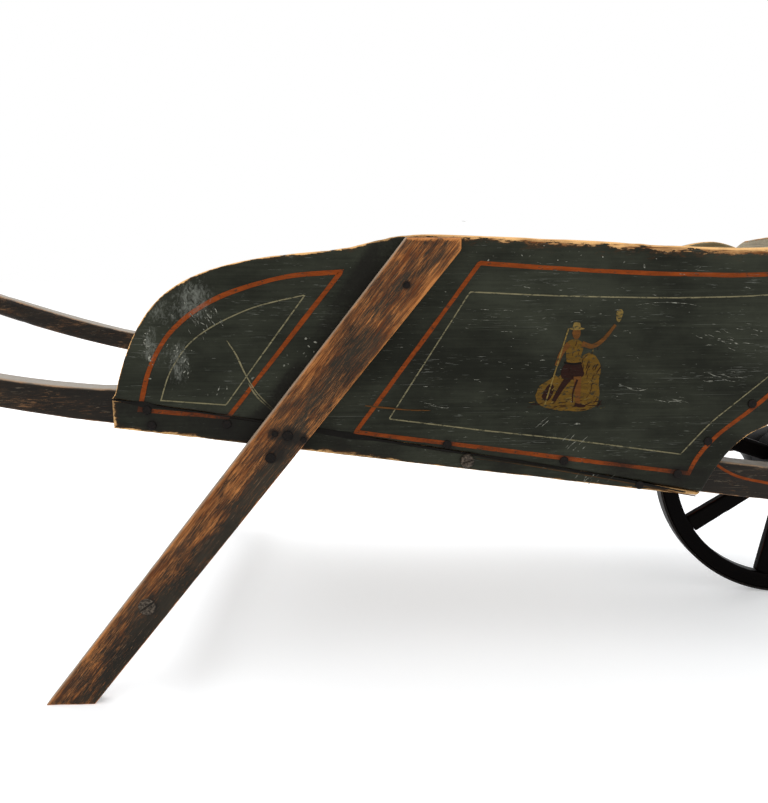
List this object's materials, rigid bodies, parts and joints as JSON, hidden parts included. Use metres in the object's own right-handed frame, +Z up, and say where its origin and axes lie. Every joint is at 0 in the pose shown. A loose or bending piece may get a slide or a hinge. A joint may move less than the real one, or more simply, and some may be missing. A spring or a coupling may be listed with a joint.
{
  "type": "wooden wheelbarrow",
  "caption": "Small antique wooden wheelbarrow with splayed painted side boards, a sloping front board, slanting legs, long shafts and a spoked iron-tyred wheel that turns.",
  "frame": {"origin": "on the floor under the centre of the whole barrow's box", "axes": "+X forward from the grips to the wheel, +Y to the left, +Z up"},
  "size_m": [0.9404, 0.3716, 0.3125],
  "materials": {
    "board_paint": "aged dark green-grey paint with worn edges",
    "leg_paint": "dark paint worn through to brown wood",
    "shaft_paint": "dark brown-black paint, rubbed",
    "wheel_paint": "black paint, low sheen",
    "bare_wood": "bare weathered boards",
    "dark_iron": "dark rusted iron",
    "screw_steel": "tarnished steel"
  },
  "bodies": {
    "frame": {"right_shaft": "shaft_paint", "left_shaft": "shaft_paint", "right_side_board": "board_paint", "right_split_strip": "board_paint", "left_side_board": "board_paint", "right_leg": "leg_paint", "left_leg": "leg_paint", "leg_stretcher": "leg_paint", "front_board": "board_paint", "front_cross_bar": "shaft_paint", "rear_bolster": "shaft_paint", "side_board_nails": "dark_iron", "front_board_nails": "dark_iron", "leg_spikes": "dark_iron", "leg_nails": "dark_iron", "cross_bar_screws": "screw_steel", "stretcher_screws": "screw_steel", "floor_nails": "dark_iron", "floor_board_1": "bare_wood", "floor_board_2": "bare_wood", "floor_board_3": "bare_wood", "floor_board_4": "bare_wood"},
    "wheel": {"axletree": "wheel_paint", "right_ferrule": "dark_iron", "left_ferrule": "dark_iron", "right_gudgeon": "dark_iron", "left_gudgeon": "dark_iron", "front_half_rim": "wheel_paint", "rear_half_rim": "wheel_paint", "iron_tyre": "dark_iron", "rim_dowels": "bare_wood", "tyre_nails": "dark_iron", "spoke_1": "wheel_paint", "spoke_2": "wheel_paint", "spoke_3": "wheel_paint", "spoke_4": "wheel_paint", "spoke_5": "wheel_paint", "spoke_6": "wheel_paint", "spoke_7": "wheel_paint"}
  },
  "joints": [
    {"name": "wheel_spin", "type": "hinge", "parent": "frame", "child": "wheel", "pos_m": [0.3532, 0, 0.117], "axis": [0, 1, 0], "continuous": true}
  ]
}
